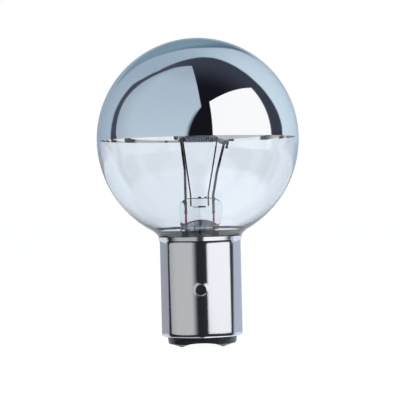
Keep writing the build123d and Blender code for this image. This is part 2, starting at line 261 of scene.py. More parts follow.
clear_glass = glass_material(
    "clear_glass", (0.885, 0.928, 0.968), (0.93, 0.96, 0.985), ior=1.5, wave=0.01)
stem_glass = glass_material(
    "stem_glass", (0.93, 0.96, 0.98), (0.78, 0.86, 0.92), ior=1.54, wave=0.05)
silvering = metal_material(
    "silvering", ((0.975, 0.94, 0.905), (0.99, 0.955, 0.92)), (0.0, 0.015), grain=40, wave=0.0)
nickel_plate = metal_material(
    "nickel_plate", ((0.80, 0.82, 0.855), (0.83, 0.85, 0.885)), (0.08, 0.13), grain=1800,
    wave=0.11, metallic=0.955)
nickel_wire = metal_material(
    "nickel_wire", ((0.012, 0.009, 0.008), (0.34, 0.28, 0.25)), (0.12, 0.3), grain=1600, wave=0.6)
support_wire = metal_material(
    "support_wire", ((0.015, 0.015, 0.015), (0.07, 0.065, 0.065)), (0.2, 0.4), grain=1500,
    wave=0.3)
copper_wire = metal_material(
    "copper_wire", ((0.50, 0.002, 0.012), (0.70, 0.006, 0.03)), (0.25, 0.4), grain=2000, wave=0.2)
tail_copper = metal_material(
    "tail_copper", ((0.05, 0.02, 0.02), (0.11, 0.035, 0.03)), (0.25, 0.45), grain=2000, wave=0.2)
tungsten = metal_material(
    "tungsten", ((0.34, 0.35, 0.37), (0.55, 0.56, 0.58)), (0.2, 0.35), grain=4000, wave=0.2)
contact_brass = metal_material(
    "contact_brass", ((0.22, 0.17, 0.10), (0.34, 0.27, 0.16)), (0.2, 0.4), grain=1500, wave=0.2)
solder_metal = metal_material(
    "solder", ((0.06, 0.065, 0.075), (0.14, 0.145, 0.155)), (0.25, 0.45), grain=900, wave=0.4)


def black_glass_material():
    low_colour, high_colour = (0.045, 0.050, 0.068), (0.075, 0.082, 0.105)
    material, tree, shader = new_material("black_glass")
    noise = noise_node(tree, 500, 3.0)
    colour_between(tree, shader, noise, low_colour, high_colour)
    roughness_between(tree, shader, noise, 0.15, 0.3)
    shader.inputs["Specular IOR Level"].default_value = 0.35
    bump_from(tree, shader, noise, 0.25)
    return material


def cement_material():
    low_colour, high_colour = (0.42, 0.36, 0.27), (0.62, 0.56, 0.46)
    material, tree, shader = new_material("cement")
    noise = noise_node(tree, 1500, 5.0)
    colour_between(tree, shader, noise, low_colour, high_colour)
    shader.inputs["Roughness"].default_value = 0.9
    bump_from(tree, shader, noise, 0.6, depth=0.1)
    return material


black_glass = black_glass_material()
cement = cement_material()


# Heights between which the envelope's outline has more points
fine_low, fine_high = 28, 34
fine_steps = 4


# Outline of one side of the envelope's wall, from the top of the globe to the neck's end
def envelope_line(dome_radius, side_radius, curve_radius, end_radius):
    extra = side_radius - dome_radius
    shift = extra * sin(radians(lower_start))
    lean = degrees(asin((end_radius + curve_radius + shift) / (side_radius + curve_radius)))
    side_centre = (-shift, globe_centre + extra * cos(radians(lower_start)))
    curve_height = side_centre[1] - (side_radius + curve_radius) * cos(radians(lean))
    dome = arc((0, globe_centre), dome_radius, 90, lower_start - 90, 72)
    side = arc(side_centre, side_radius, lower_start - 90, lean - 90, 40)
    curve = arc((end_radius + curve_radius, curve_height), curve_radius, lean + 90, 180, 20)
    neck = [*between(curve[-1], (end_radius, neck_end), 6), (end_radius, neck_end)]
    # More points where the darker band begins
    line = dome + side[1:] + curve[1:] + neck
    finer = [line[0]]
    for start, end in zip(line, line[1:]):
        if fine_low < end[1] < fine_high:
            finer += between(start, end, fine_steps)
        finer.append(end)
    return finer


inner_lower_radius = 26.4
inner_neck_curve = 6.5
neck_wall = 1.3
globe_around = 192
outer_line = envelope_line(globe_radius, lower_radius, neck_curve, neck_radius)
inner_line = envelope_line(glass_bore, inner_lower_radius, inner_neck_curve,
                           neck_radius - neck_wall)
globe = mesh_piece("globe_glass", *revolved(outer_line + inner_line[::-1], globe_around),
                   clear_glass, sharp=60)
band_top = 31.95
band_line = 0.3
band_blur = 0.15
band_line_level = 0.006
band_level = 0.022
band_green_loss = 0.02
band_blue_loss = 0.05
skin_depth = 0.1


# Radius of the globe's outside at a height near the neck
def outside_radius(height):
    for (radius, top), (next_radius, bottom) in zip(outer_line, outer_line[1:]):
        if bottom <= height <= top and top < globe_centre:
            share = (top - height) / max(top - bottom, 1e-6)
            return radius + (next_radius - radius) * share
    return 0.0


# The neck's outside is darker and a little browner from just above the cap down, with a darker line
# on top
def globe_tint(point):
    darkened = min(max((band_top - point.z) / band_blur, 0.0), 1.0)
    depth = abs(sqrt(point.x**2 + point.y**2) - outside_radius(point.z))
    if darkened == 0 or depth > skin_depth:
        return 1.0, 1.0, 1.0
    under_line = min(max((band_top - band_line - point.z) / band_blur, 0.0), 1.0)
    level = 1 + (band_line_level - 1) * darkened + (band_level - band_line_level) * under_line
    return level, level * (1 - band_green_loss * darkened), level * (1 - band_blue_loss * darkened)


paint_tint(globe, globe_tint)
add_piece(globe, "clear_glass", "glass_envelope")

# Silvering: a thin shell over the upper half of the bore, its middle on the bore's surface
mirror_around = 256
mirror_steps = 90
mirror_outside = arc((0, globe_centre), glass_bore + mirror_half, 90, 0, mirror_steps)
mirror_inside = arc((0, globe_centre), glass_bore - mirror_half, 0, 90, mirror_steps)
mirror = mesh_piece("mirror_dome", *revolved(mirror_outside + mirror_inside, mirror_around),
                    silvering, sharp=40)
add_piece(mirror, "silvering", "mirror_coating")

# Stem: the pressed pinch over the tube, with the exhaust tube hanging in the hollow
tube_radius = 5.05
tube_bore = 4.25
tube_wall = tube_radius - tube_bore
flare_curve = neck_radius - neck_wall - tube_radius
pinch_root = 31.7
end_rise = 2.15
end_blend = 0.25
fin_rise = 0.8
pinch_full = 37.0
knob_radius = 0.35
knob_out = (0.15, 1.8)
pinch_top = stem_high.z - knob_radius
pinch_half_width = 6.1
pinch_foot_half_width = 5.6
pinch_half_thickness = 2.1
pinch_shoulder = 3.0
pinch_edge = 1.4
pinch_shift = 0.4
press_line_height = 37.75
press_line_ends = (-1.9, 1.8)
press_line_radius = 0.2
press_margin = 0.3
hollow_dome = 1.8
exhaust_radius = 1.6
exhaust_wall = 0.5
exhaust_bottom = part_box("exhaust_tube")[0].z / MM
stem_around = 160


def smooth_step(value):
    value = min(max(value, 0.0), 1.0)
    return value * value * (3 - 2 * value)


# One level of the pinch: half width, half thickness and corner radius
def pinch_level(height):
    flank = smooth_step((height - pinch_root) / (pinch_full - pinch_root))
    width = pinch_foot_half_width + (pinch_half_width - pinch_foot_half_width) * flank
    thickness = pinch_half_thickness
    corner = pinch_edge
    shoulder_start = pinch_top - pinch_shoulder
    if height > shoulder_start:
        rise = min(height - shoulder_start, pinch_shoulder)
        width -= pinch_shoulder - sqrt(pinch_shoulder**2 - rise**2)
    edge_start = pinch_top - pinch_edge
    if height > edge_start:
        rise = min(height - edge_start, pinch_edge)
        inward = pinch_edge - sqrt(pinch_edge**2 - rise**2)
        thickness -= inward
        corner = max(corner - inward, 0.02)
    return width, thickness, corner


# Radius of the tube's round end at a height
def end_radius(height):
    rise = (height - pinch_root) / end_rise
    return tube_radius * sqrt(max(1 - rise * rise, 0.0))


# Rounded rectangle joined with the tube's round end, its points spread evenly along the
# rectangle's quarters from the middle of a side
def pinch_ring(height):
    width, thickness, corner = pinch_level(height)
    shift = pinch_shift * smooth_step((height - pinch_root) / end_rise)
    fin = smooth_step((height - pinch_root) / fin_rise)
    tall = thickness - corner
    bend = pi * corner / 2
    wide = width - corner
    quarter = stem_around // 4
    arc_points = []
    for step in range(quarter):
        run = (tall + bend + wide) * step / quarter
        if run < tall:
            arc_points.append((width, run))
        elif run < tall + bend:
            angle = (run - tall) / corner
            arc_points.append((wide + corner * cos(angle), tall + corner * sin(angle)))
        else:
            arc_points.append((wide - (run - tall - bend), thickness))
    top = (0, thickness)
    second = [(-x, y) for x, y in [top, *arc_points[:0:-1]]]
    third = [(-x, -y) for x, y in arc_points]
    fourth = [(x, -y) for x, y in [top, *arc_points[:0:-1]]]
    ring = []
    for x, y in arc_points + second + third + fourth:
        reach = sqrt(x * x + y * y)
        plate = min(reach, tube_radius) + (reach - min(reach, tube_radius)) * fin
        round_end = end_radius(height)
        gap = plate - round_end
        blend = sqrt(gap * gap + end_blend**2)
        grown = max((plate + round_end + blend) / 2 - end_blend / 2, 0.01)
        x, y = x * grown / reach, y * grown / reach
        x += shift
        above = abs(height - press_line_height)
        if y < 0 and above < press_line_radius and press_line_ends[0] < x < press_line_ends[1]:
            y += sqrt(press_line_radius**2 - above**2)
        ring.append((x, y, height))
    return ring


def stem_mesh():
    round_top = pinch_root + end_rise
    press_start = press_line_height - press_margin
    heights = [pinch_root + end_rise * sin(pi / 2 * step / 30) for step in range(30)]
    heights += [round_top + (pinch_full - round_top) * step / 8 for step in range(8)]
    heights += [pinch_full + (press_start - pinch_full) * step / 4 for step in range(4)]
    heights += [press_line_height + press_line_radius * sin(pi / 2 * step / 6)
                for step in range(-6, 7)]
    heights += [press_line_height + press_margin]
    heights += [pinch_top - pinch_edge + pinch_edge * sin(pi / 2 * step / 14)
                for step in range(15)]
    rings = [pinch_ring(height) for height in reversed(heights)]
    # Round rings down the tube and flare, up the bore, over the hollow and down the tube
    flare_centre = (tube_radius + flare_curve, neck_end + flare_curve)
    dome_radius = (tube_bore**2 + hollow_dome**2) / (2 * hollow_dome)
    dome_centre = (0, pinch_root + hollow_dome - dome_radius)
    dome_edge = degrees(atan2(pinch_root - dome_centre[1], tube_bore))
    join_height = dome_centre[1] + sqrt(dome_radius**2 - exhaust_radius**2)
    dome_join = degrees(atan2(join_height - dome_centre[1], exhaust_radius))
    tip_centre = (0, exhaust_bottom + exhaust_radius)
    profile = [
        *between((tube_radius, pinch_root), (tube_radius, flare_centre[1]), 8),
        *arc(flare_centre, flare_curve, 180, 270, 16),
        (neck_radius, neck_end),
        (neck_radius, neck_end - tube_wall),
        *arc(flare_centre, flare_curve + tube_wall, 270, 180, 16),
        *between((tube_bore, flare_centre[1]), (tube_bore, pinch_root), 8),
        *arc(dome_centre, dome_radius, dome_edge, dome_join, 12),
        *between((exhaust_radius, join_height), (exhaust_radius, tip_centre[1]), 10),
        *arc(tip_centre, exhaust_radius, 0, -90, 10),
    ]
    for radius, height in profile:
        rings.append([
            (radius * cos(2 * pi * step / stem_around), radius * sin(2 * pi * step / stem_around),
             height)
            for step in range(stem_around)
        ])
    points = [point for ring in rings for point in ring]
    faces = [tuple(range(stem_around))]
    for row in range(len(rings) - 1):
        for step in range(stem_around):
            side = (step + 1) % stem_around
            faces.append((row * stem_around + step, row * stem_around + side,
                          (row + 1) * stem_around + side, (row + 1) * stem_around + step))
    # Bore of the exhaust tube, a closed hollow of its own
    bore = exhaust_radius - exhaust_wall
    bore_top = pinch_root + hollow_dome
    bore_foot = tip_centre[1]
    bore_line = [(0, bore_top), (bore, bore_top),
                 *between((bore, bore_top), (bore, bore_foot), 6),
                 *arc((0, bore_foot + exhaust_wall), bore, 0, -90, 8)]
    bore_points, bore_faces = revolved(bore_line, 48)
    offset = len(points)
    points += bore_points
    faces += [tuple(index + offset for index in face) for face in bore_faces]
    return points, faces


stem = mesh_piece("stem_glass", *stem_mesh(), stem_glass, sharp=50)
# Painted shade on the stem glass: how dark its bend at the pinch's foot, the foot itself and the
# tube under it are painted
root_skin = 0.02
shade_core = 0.05
shade_fade = 0.5
bend_painted_shade = 0.985
foot_rise = 0.35
foot_painted_shade = 0.3
tint_blur = 0.4
tube_shaded_level = 0.60
tube_clearer = 0.35
tube_hue = (1.0, 1.01, 1.04)


# Painted shade on the stem: the pinch's foot is dark where the tube's round end bends into it, in
# place of the dark that refraction gives there. The tube under it is darker, and clearer inside the
# neck
def stem_painted_shade(point):
    if point.z > pinch_root + root_skin:
        reach = sqrt(point.x**2 + point.y**2)
        over = reach - end_radius(min(point.z, pinch_root + end_rise))
        shaded_bend = 1 - smooth_step((abs(over) - shade_core) / shade_fade)
        shaded_bend *= smooth_step((pinch_root + end_rise + shade_fade - point.z) / tint_blur)
        high = smooth_step((point.z - pinch_root - foot_rise) / foot_rise)
        level = 1 - bend_painted_shade * shaded_bend * high - foot_painted_shade * (1 - high)
        return level, level, level
    clearer = smooth_step((band_top - point.z) / tint_blur)
    level = tube_shaded_level + tube_clearer * clearer
    return tuple(level * share for share in tube_hue)


# The stem's painted shade goes into its tint
paint_tint(stem, stem_painted_shade)
add_piece(stem, "stem_glass", "stem", "exhaust_tube")


# Smooth round wire through points in millimetres, as a mesh
def wire_piece(name, points, radius, material, around=16):
    ways = []
    for index in range(len(points)):
        before = points[max(index - 1, 0)]
        after = points[min(index + 1, len(points) - 1)]
        ways.append((after - before).normalized())
    rings = []
    for point, way in zip(points, ways):
        side = way.orthogonal().normalized() if not rings else side - way * side.dot(way)
        side.normalize()
        cross = way.cross(side)
        rings.append([
            point + (side * cos(2 * pi * k / around) + cross * sin(2 * pi * k / around)) * radius
            for k in range(around)
        ])
    faces = [tuple(range(around))]
    faces.append(tuple((len(rings) - 1) * around + k for k in reversed(range(around))))
    for row in range(len(rings) - 1):
        for k in range(around):
            after = (k + 1) % around
            faces.append((row * around + k, row * around + after, (row + 1) * around + after,
                          (row + 1) * around + k))
    return mesh_piece(name, [point for ring in rings for point in ring], faces, material, sharp=50)


# Seal wires of the copper-clad kind in the pinch's foot, each with a weld bead at its lead
seal_radius = 0.27
seal_reach = 0.9
seal_steps = 8
bead_radius = 0.40
bead_rises = (0.2, 0.05, -0.25, -0.5, -0.6)
for side in ("left", "right"):
    low, high = (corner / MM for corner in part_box(f"seal_wire_{side}"))
    x = (low.x + high.x) / 2
    foot = low.z - seal_reach
    run = [Vector((x, 0, foot + (high.z - foot) * step / seal_steps))
           for step in range(seal_steps + 1)]
    seal = wire_piece(f"seal_wire_glass_{side}", run, seal_radius, copper_wire)
    add_piece(seal, "copper_wire", f"seal_wire_{side}")
    bead_run = [Vector((x, 0, high.z + rise)) for rise in bead_rises]
    add_piece(wire_piece(f"weld_bead_{side}", bead_run, bead_radius, nickel_wire), "nickel_wire")

# Cut anchor wire in the pinch: a thick and a thin stretch across the front, two stubs on top
anchor_radius = 0.25
anchor_places = (-0.25, 0.3, 0.8, 1.3, 1.75)
anchor_thin_radius = 0.08
anchor_thin_places = ((-1.7, 0.05), (-1.2, 0.0), (-0.7, -0.1), (-0.2, -0.05))
stub_rises = (-0.25, 0.0, 0.2, knob_radius)
stub_radius = 0.38
stub_narrower = 0.05
mark_depth = Vector((0, press_line_radius - pinch_half_thickness, press_line_height))
cross_run = [mark_depth + Vector((x, 0, 0)) for x in anchor_places]
add_piece(wire_piece("anchor_line", cross_run, anchor_radius, support_wire), "support_wire")
thin_run = [mark_depth + Vector((x, 0, dip)) for x, dip in anchor_thin_places]
add_piece(wire_piece("anchor_line_thin", thin_run, anchor_thin_radius, support_wire),
          "support_wire")
for index, out in enumerate(knob_out):
    stub = [Vector((out, 0, pinch_top + rise)) for rise in stub_rises]
    add_piece(wire_piece(f"anchor_stub_{index}", stub, stub_radius - stub_narrower * index,
                         support_wire), "support_wire")

# Cap shell: a drawn barrel that eases into its lip and its bottom edge, with a raised seat
# round each pin
cap_radius = 11.0
cap_wall = 0.3
cap_bore = cap_radius - cap_wall
cap_bottom = cap_low.z
cap_top = cap_high.z
soft_turn = 8.0
soft_run = 0.8
soft_rise = soft_run * tan(radians(soft_turn)) / 2
soft_steps = 8
barrel_steps = 90
lip_low = 28.9
lip_bend = 1.0
lip_turn = 25.0
lip_steps = 10
edge_low = 3.5
bottom_hole = 9.55
pin_height = 16.1
seat_rise = 0.055
seat_flat = 1.65
seat_edge = 2.0
# The lip's edge, as steps inward and down from its widest and highest point
lip_roll = ((0.03, 0.06), (0.07, 0.01), (0.13, 0.0), (0.30, 0.04))
lip_edge = [(cap_high.x - inward, cap_top - down) for inward, down in lip_roll]
# Inside of the cap from the lip down, as radius and height
cap_inside = [lip_edge[-1], (cap_bore + 0.15, lip_low + 0.3), (cap_bore, lip_low - 0.6),
              (cap_bore, 20.0), (cap_bore, 5.0), (cap_bore - 0.3, 3.8),
              (9.6, cap_bottom + cap_wall)]


# Outer line of the cap from its bottom to its lip, as radius and height
def cap_line():
    turn = radians(soft_turn)
    edge = (edge_low - cap_bottom) / (1 - sin(turn))
    edge_centre = (cap_radius - soft_rise - edge * cos(turn), edge_low + edge * sin(turn))
    straight_low, straight_high = edge_low + soft_run, lip_low - soft_run
    line = [(bottom_hole, cap_bottom)]
    line += arc(edge_centre, edge, -90, -soft_turn, 16)
    line += [(cap_radius - soft_rise * (1 - step / soft_steps) ** 2,
              edge_low + soft_run * step / soft_steps)
             for step in range(1, soft_steps + 1)]
    line += [(cap_radius, straight_low + (straight_high - straight_low) * step / barrel_steps)
             for step in range(1, barrel_steps + 1)]
    line += [(cap_radius + soft_rise * (step / soft_steps) ** 2,
              straight_high + soft_run * step / soft_steps)
             for step in range(1, soft_steps + 1)]
    bend_turn = radians(lip_turn)
    for step in range(1, lip_steps + 1):
        angle = turn + (bend_turn - turn) * step / lip_steps
        line.append((cap_radius + soft_rise + lip_bend * (cos(turn) - cos(angle)),
                     lip_low + lip_bend * (sin(angle) - sin(turn))))
    return [*line, *between(line[-1], lip_edge[0], 6), *lip_edge[:-1]]


def cap_mesh():
    cap_around = 360
    skin = cap_radius - 0.01
    points, faces = revolved(cap_line() + cap_inside, cap_around, closed=True)
    raised = []
    for x, y, z in points:
        radius = sqrt(x * x + y * y)
        if radius > skin and abs(z - pin_height) < seat_edge and abs(x) < seat_edge:
            far = sqrt((asin(x / radius) * radius) ** 2 + (z - pin_height) ** 2)
            lift = seat_rise * smooth_step((seat_edge - far) / (seat_edge - seat_flat))
            x, y = x * (radius + lift) / radius, y * (radius + lift) / radius
        raised.append((x, y, z))
    return raised, faces


add_piece(mesh_piece("cap_barrel", *cap_mesh(), nickel_plate, sharp=60),
          "nickel_plate", "cap_shell")

# Cement: it fills the gap between the neck and the cap up under the lip
cement_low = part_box("basing_cement")[0].z / MM
cement_top = 28.6
cement_turn_top = 29.0
cement_around = 180
neck_turn = [point for point in outer_line
             if cement_low < point[1] < cement_turn_top and point[0] < cap_radius]
cement_line = [(cap_bore, cement_low), (neck_radius, cement_low), *reversed(neck_turn),
               (cap_bore, cement_top)]
add_piece(mesh_piece("cement_ring", *revolved(cement_line, cement_around, closed=True), cement,
                     sharp=50), "cement", "basing_cement")

# Filament: a fine round coil in three runs, through the same stops as its node
coil_radius = 0.6
coil_wire = 0.1
coil_pitch = 0.5
coil_steps = 20
coil_gap = 0.9
corner_cut = 0.35
clamp_half = 0.46
clamp_drop = 0.6
clamp_reach = 0.55
left_corner = Vector((-4.6, 2.4, globe_centre - 0.1))
right_corner = Vector((5.6, 2.4, globe_centre - 0.3))
left_bend = Vector((-3.7, -0.5, pinch_top + 7.9))
right_bend = Vector((5.0, -0.5, pinch_top + 7.1))
left_tip = Vector((-4.6, -2.4, globe_centre + 0.25))
right_tip = Vector((7.3, -2.4, globe_centre - 0.7))


# Middle of the clamp at a lead's tip, and the way its filament end lies in it
def clamp_at(bend, tip):
    lean = (tip - bend).normalized()
    across = Vector((0, 1, 0)).cross(lean).normalized()
    return tip + across * clamp_half - lean * clamp_drop, across.cross(lean).normalized()


left_clamp, left_way = clamp_at(left_bend, left_tip)
right_clamp, right_way = clamp_at(right_bend, right_tip)


def coil_run(start, end):
    axis = (end - start).normalized()
    side = axis.cross(Vector((0, 0, 1))).normalized()
    top = side.cross(axis)
    length = (end - start).length - 2 * coil_gap
    turns = round(length / coil_pitch)
    points = []
    for step in range(turns * coil_steps + 1):
        angle = pi / 2 + 2 * pi * step / coil_steps
        centre = start + axis * (coil_gap + length * step / (turns * coil_steps))
        points.append(centre + side * (coil_radius * cos(angle)) + top * (coil_radius * sin(angle)))
    return points


def filament_piece():
    stops = [left_clamp, left_corner, right_corner, right_clamp]
    ways = [(end - start).normalized() for start, end in zip(stops, stops[1:])]
    points = [stops[0] + left_way * clamp_reach, stops[0] - left_way * clamp_reach]
    points += coil_run(stops[0], stops[1])
    points += [stops[1] - ways[0] * corner_cut, stops[1] + ways[1] * corner_cut]
    points += coil_run(stops[1], stops[2])
    points += [stops[2] - ways[1] * corner_cut, stops[2] + ways[2] * corner_cut]
    points += coil_run(stops[2], stops[3])
    points += [stops[3] - right_way * clamp_reach, stops[3] + right_way * clamp_reach]
    curve = bpy.data.curves.new("filament_coil", "CURVE")
    curve.dimensions = "3D"
    spline = curve.splines.new("POLY")
    spline.points.add(len(points) - 1)
    for place, point in zip(spline.points, points):
        place.co = (*(point * MM), 1)
    spline.use_smooth = True
    curve.bevel_depth = coil_wire * MM
    curve.bevel_resolution = 2
    curve.use_fill_caps = True
    curve.materials.append(tungsten)
    piece = bpy.data.objects.new("filament_coil", curve)
    bpy.context.scene.collection.objects.link(piece)
    return piece


add_piece(filament_piece(), "tungsten", "filament")

# Nodes that keep their shape
finishes = {
    "bayonet_pin_front": (nickel_plate, "nickel_plate"),
    "bayonet_pin_rear": (nickel_plate, "nickel_plate"),
    "insulator": (black_glass, "black_glass"),
}
for side in ("left", "right"):
    finishes[f"contact_{side}"] = (contact_brass, "contact_brass")
    finishes[f"solder_{side}"] = (solder_metal, "solder")
    finishes[f"lead_wire_{side}"] = (nickel_wire, "nickel_wire")
    finishes[f"support_wire_{side}"] = (support_wire, "support_wire")
    finishes[f"tail_wire_{side}"] = (tail_copper, "copper_wire")
for node, (material, slot) in finishes.items():
    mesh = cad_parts[node].data
    mesh.materials.clear()
    mesh.materials.append(material)


# Studio: directions are seen from the globe's centre, azimuth 0 towards the camera
def direction(azimuth, elevation):
    around = radians(azimuth)
    up = radians(elevation)
    return Vector((sin(around) * cos(up), -cos(around) * cos(up), sin(up)))


studio_centre = Vector((0, 0, globe_centre * MM))


# 1 for what the eye sees itself or through glass, and 0 for what a surface mirrors
def seen_straight(tree):
    light_path = tree.nodes.new("ShaderNodeLightPath")
    unmirrored = math_node(tree, "LESS_THAN", light_path.outputs["Glossy Depth"], 0.5)
    through = math_node(tree, "MULTIPLY", unmirrored, light_path.outputs["Is Transmission Ray"])
    return math_node(tree, "MAXIMUM", light_path.outputs["Is Camera Ray"], through)


def stage_material(name):
    material = bpy.data.materials.new(name)
    material.use_nodes = True
    material.node_tree.nodes.clear()
    return material, material.node_tree


# One shader for what surfaces mirror, and another for what the eye sees
def show(tree, mirrored, seen):
    choice = tree.nodes.new("ShaderNodeMixShader")
    tree.links.new(seen_straight(tree), choice.inputs["Fac"])
    tree.links.new(mirrored, choice.inputs[1])
    tree.links.new(seen, choice.inputs[2])
    output = tree.nodes.new("ShaderNodeOutputMaterial")
    tree.links.new(choice.outputs["Shader"], output.inputs["Surface"])


# Glowing sheet that only surfaces mirror: a grid of points, a glow at each, and its colours
# by height
def glow_sheet(name, points, glows, columns, colours, reach):
    across = columns + 1
    faces = []
    for row in range(len(points) // across - 1):
        for column in range(columns):
            corner = row * across + column
            faces.append((corner, corner + 1, corner + across + 1, corner + across))
    material, tree = stage_material(name)
    coordinates = tree.nodes.new("ShaderNodeTexCoord")
    parts = tree.nodes.new("ShaderNodeSeparateXYZ")
    tree.links.new(coordinates.outputs["Object"], parts.inputs["Vector"])
    rise = tree.nodes.new("ShaderNodeMapRange")
    rise.inputs["From Min"].default_value = studio_centre.z - 0.2 * reach
    rise.inputs["From Max"].default_value = studio_centre.z + reach
    tree.links.new(parts.outputs["Z"], rise.inputs["Value"])
    glow = tree.nodes.new("ShaderNodeEmission")
    tree.links.new(ramp_node(tree, rise.outputs["Result"], colours), glow.inputs["Color"])
    brightness = tree.nodes.new("ShaderNodeAttribute")
    brightness.attribute_name = "glow"
    tree.links.new(brightness.outputs["Fac"], glow.inputs["Strength"])
    unseen = tree.nodes.new("ShaderNodeBsdfTransparent")
    show(tree, glow.outputs["Emission"], unseen.outputs["BSDF"])
    mesh = bpy.data.meshes.new(name)
    mesh.from_pydata([Vector(point) * MM for point in points], [], faces)
    mesh.materials.append(material)
    shades = mesh.attributes.new("glow", "FLOAT", "POINT")
    for shade, value in zip(shades.data, glows):
        shade.value = value
    sheet = bpy.data.objects.new(name, mesh)
    bpy.context.scene.collection.objects.link(sheet)
    sheet.visible_shadow = False
    sheet.visible_diffuse = False
    sheet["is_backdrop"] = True


# Flat softbox on the right: its facing direction, and how far it reaches to each side of it.
# A lamp lights the object from there, and a sheet is what surfaces mirror
def right_softbox():
    distance = 0.6
    facing = 58
    left_reach, right_reach = -0.875 * distance, 0.675 * distance
    low, high = -0.125, 1.10 * distance
    round_corner = 0.045
    corner_blur = 0.012
    inner_fade = 0.16 * distance
    dim_start, dim_fade = 0.01, 0.03
    dim_share = 0.5
    strength = 1.09
    panel_colour = (1.073, 1.073, 1.09)
    columns, rows = 90, 70
    row_crowding = 1.6
    lamp = bpy.data.lights.new("right_softbox", "AREA")
    lamp.shape = "RECTANGLE"
    lamp.size = right_reach - left_reach
    lamp.size_y = high - low
    lamp.energy = strength * pi * lamp.size * lamp.size_y
    lamp.color = (0.985, 0.985, 1.0)
    holder = bpy.data.objects.new("right_softbox", lamp)
    away = direction(facing, 0)
    along = direction(facing + 90, 0)
    holder.location = (studio_centre + away * distance + along * (left_reach + right_reach) / 2
                       + Vector((0, 0, (low + high) / 2)))
    holder.rotation_euler = away.to_track_quat("Z", "Y").to_euler()
    holder.visible_glossy = False
    holder.visible_transmission = False
    bpy.context.scene.collection.objects.link(holder)
    points, glows = [], []
    for row in range(rows + 1):
        rise = low + (high - low) * (row / rows) ** row_crowding
        below = max(low + round_corner - rise, 0)
        dim = smooth_step((dim_start - rise) / dim_fade) * dim_share
        for column in range(columns + 1):
            reach = left_reach + (right_reach - left_reach) * column / columns
            place = studio_centre + away * distance + along * reach + Vector((0, 0, rise))
            points.append(place / MM)
            beside = max(reach - right_reach + round_corner, left_reach + round_corner - reach, 0)
            corner = Vector((beside, below))
            inside = min(max((round_corner - corner.length) / corner_blur, 0), 1)
            inner_edge = min(max((reach - left_reach) / inner_fade, 0), 1)
            glows.append(inside * (1 - dim * (1 - inner_edge)))
    glow_sheet("right_panel", points, glows, columns, [(0.0, panel_colour), (1.0, panel_colour)],
               distance)


right_softbox()


# Curved diffuser on the left and overhead, ruled between its outer and inner edges.
# Each row: outer edge, inner edge, and how far the inner edge fades
def left_diffuser():
    distance = 0.7
    rows = [
        ((-78.0, -12), (-9.0, -12), 0.22),
        ((-90.0, -10.8), (-8.0, -10.8), 0.22),
        ((-96.0, -8.6), (-8.0, -8.6), 0.22),
        ((-99.0, -5), (-8.5, -5), 0.22),
        ((-99.0, -2), (-9.5, -2), 0.22),
        ((-105.1, 4.2), (-9.2, 3.0), 0.05),
        ((-106.2, 10.6), (-6.5, 12.8), 0.05),
        ((-107.4, 19.9), (-3.0, 21.1), 0.04),
        ((-108.0, 27.8), (0.8, 27.2), 0.03),
        ((-106.3, 35.6), (6.4, 33.8), 0.02),
        ((-103.8, 43.6), (5.0, 43.9), 0.02),
        ((-100.0, 52.1), (2.9, 57.6), 0.02),
        ((-96.7, 60.2), (0.0, 66.8), 0.02),
        ((-94.9, 67.0), (-4.0, 74.3), 0.02),
        ((-94.4, 73.7), (-9.8, 79.1), 0.02),
        ((-90.1, 80.1), (-23.4, 83.5), 0.02),
        ((-72.5, 86.2), (-58.0, 86.3), 0.02),
    ]
    colours = [
        (0.0, (0.567, 0.565, 0.57)),
        (0.17, (0.567, 0.565, 0.57)),
        (0.215, (0.52, 0.63, 0.74)),
        (0.58, (0.482, 0.588, 0.70)),
        (0.89, (0.447, 0.548, 0.657)),
        (1.0, (0.37, 0.455, 0.555)),
    ]
    columns = 48
    fine = 5
    outer_level = 0.81
    outer_fade = 0.3
    points = []
    glows = []
    for (outer, inner, fade), (next_outer, next_inner, next_fade) in zip(rows, rows[1:]):
        last = next_outer == rows[-1][0]
        for part in range(fine + 1 if last else fine):
            share = part / fine
            start = direction(*outer).lerp(direction(*next_outer), share).normalized()
            end = direction(*inner).lerp(direction(*next_inner), share).normalized()
            soft = fade + (next_fade - fade) * share
            for column in range(columns + 1):
                place = column / columns
                way = start.slerp(end, place)
                points.append((studio_centre + way * distance) / MM)
                glow = smooth_step((1 - place) / soft)
                brighter = (1 - outer_level) * smooth_step(place / outer_fade)
                glows.append(glow * (outer_level + brighter))
    glow_sheet("left_diffuser", points, glows, columns, colours, distance)


left_diffuser()


# Floor: white to the eye, a little duller in the lamp's shadow, and not mirrored
def studio_floor():
    reach = 3000
    floor_colour = (0.22, 0.22, 0.22, 1)
    floor_glow = 0.96
    points = [(-reach, -reach, 0), (reach, -reach, 0), (reach, reach, 0), (-reach, reach, 0)]
    material, tree = stage_material("studio_floor")
    diffuse = tree.nodes.new("ShaderNodeBsdfDiffuse")
    diffuse.inputs["Color"].default_value = floor_colour
    glow = tree.nodes.new("ShaderNodeEmission")
    glow.inputs["Strength"].default_value = floor_glow
    total = tree.nodes.new("ShaderNodeAddShader")
    tree.links.new(diffuse.outputs["BSDF"], total.inputs[0])
    tree.links.new(glow.outputs["Emission"], total.inputs[1])
    unseen = tree.nodes.new("ShaderNodeBsdfTransparent")
    show(tree, unseen.outputs["BSDF"], total.outputs["Shader"])
    ground = mesh_piece("studio_floor", points, [(0, 1, 2, 3)], material)
    ground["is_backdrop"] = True


studio_floor()


